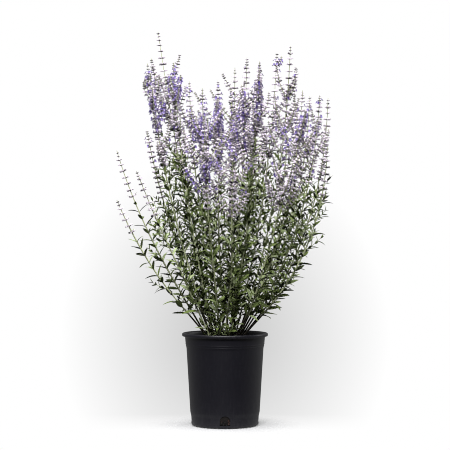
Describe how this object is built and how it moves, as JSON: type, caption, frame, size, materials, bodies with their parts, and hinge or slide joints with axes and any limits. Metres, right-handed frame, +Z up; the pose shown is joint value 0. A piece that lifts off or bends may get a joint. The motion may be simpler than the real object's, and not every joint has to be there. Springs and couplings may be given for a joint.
{
  "type": "potted russian sage",
  "caption": "Russian sage in a black nursery pot: square leafy stems spread from one crown and end in branched violet flower sprays.",
  "frame": {"origin": "centre of the pot's flat base, on the surface that it stands on", "axes": "+Z up through the pot's axis, -Y towards the side seen in the picture, +X to the right there"},
  "size_m": [0.5587, 0.44, 0.996],
  "materials": {
    "pot_plastic": "satin black blow-moulded polyethylene",
    "soil": "dark potting soil with shredded bark",
    "foliage": "matt grey-green, finely felted leaves and pale square stems",
    "flowers": "matt blue-violet petals in dusty purple-grey calyces"
  },
  "bodies": {
    "root": {"pot": "pot_plastic", "soil": "soil", "leafy_stem_01": "foliage", "leafy_stem_02": "foliage", "leafy_stem_03": "foliage", "leafy_stem_04": "foliage", "leafy_stem_05": "foliage", "leafy_stem_06": "foliage", "leafy_stem_07": "foliage", "leafy_stem_08": "foliage", "leafy_stem_09": "foliage", "leafy_stem_10": "foliage", "leafy_stem_11": "foliage", "leafy_stem_12": "foliage", "leafy_stem_13": "foliage", "leafy_stem_14": "foliage", "leafy_stem_15": "foliage", "leafy_stem_16": "foliage", "leafy_stem_17": "foliage", "leafy_stem_18": "foliage", "leafy_stem_19": "foliage", "leafy_stem_20": "foliage", "leafy_stem_21": "foliage", "leafy_stem_22": "foliage", "leafy_stem_23": "foliage", "leafy_stem_24": "foliage", "leafy_stem_25": "foliage", "leafy_stem_26": "foliage", "leafy_stem_27": "foliage", "spray_01": "flowers", "spray_02": "flowers", "spray_03": "flowers", "spray_04": "flowers", "spray_05": "flowers", "spray_06": "flowers", "spray_07": "flowers", "spray_08": "flowers", "spray_09": "flowers", "spray_10": "flowers", "spray_11": "flowers", "spray_12": "flowers", "spray_13": "flowers", "spray_14": "flowers", "spray_15": "flowers", "spray_16": "flowers", "spray_17": "flowers", "spray_18": "flowers", "spray_19": "flowers", "spray_20": "flowers", "spray_21": "flowers", "spray_22": "flowers", "spray_23": "flowers", "spray_25": "flowers", "spray_26": "flowers", "spray_27": "flowers"}
  },
  "joints": []
}
